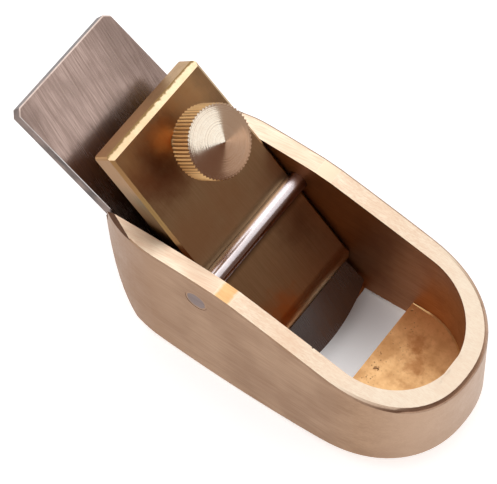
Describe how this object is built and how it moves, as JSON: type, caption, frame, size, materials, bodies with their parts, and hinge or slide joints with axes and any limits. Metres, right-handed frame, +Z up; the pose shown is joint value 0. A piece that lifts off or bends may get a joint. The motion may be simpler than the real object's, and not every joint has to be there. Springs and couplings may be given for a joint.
{
  "type": "finger plane",
  "caption": "Palm-sized brass finger plane with a rounded sole, a toothless steel iron on a sloping bed, and a lever cap that a thumbscrew clamps under a cross pin.",
  "frame": {"origin": "middle of the small flat under the rounded sole that the plane rests on", "axes": "+X along the plane from heel to toe, +Y across it, +Z up from the sole"},
  "size_m": [0.062, 0.0234, 0.0366],
  "materials": {
    "body_brass": "brushed brass, lengthwise grain, lightly tarnished",
    "cap_brass": "brushed brass with fine lengthwise grain",
    "screw_brass": "turned brass with fine turning rings",
    "pin_steel": "polished steel rod",
    "iron_steel": "ground tool steel with slanting grinding marks"
  },
  "bodies": {
    "body": {"plane_body": "body_brass", "cross_pin": "pin_steel"},
    "iron": {"cutting_iron": "iron_steel"},
    "clamp": {"lever_cap": "cap_brass"},
    "stud": {"thumbscrew_stud": "screw_brass"},
    "head": {"thumbscrew_head": "screw_brass"}
  },
  "joints": [
    {"name": "iron_slide", "type": "slide", "parent": "body", "child": "iron", "axis": [0.8281, 0, -0.5606], "range_m": [-0.005, 0.0037]},
    {"name": "cap_tilt", "type": "hinge", "parent": "body", "child": "clamp", "pos_m": [-0.00383, 0, 0.01721], "axis": [0, -1, 0], "range_deg": [0, 9]},
    {"name": "stud_advance", "type": "slide", "parent": "clamp", "child": "stud", "axis": [0.7175, 0, 0.6965], "range_m": [0, 0.0025]},
    {"name": "head_turn", "type": "hinge", "parent": "stud", "child": "head", "pos_m": [-0.0146, 0.0004, 0.02761], "axis": [0.7175, 0, 0.6965], "range_deg": [0, 1800]}
  ],
  "couplings": [
    {"joint": "head_turn", "follows": "cap_tilt", "ratio": 199.8},
    {"joint": "stud_advance", "follows": "cap_tilt", "m_per_rad": 0.0159}
  ]
}
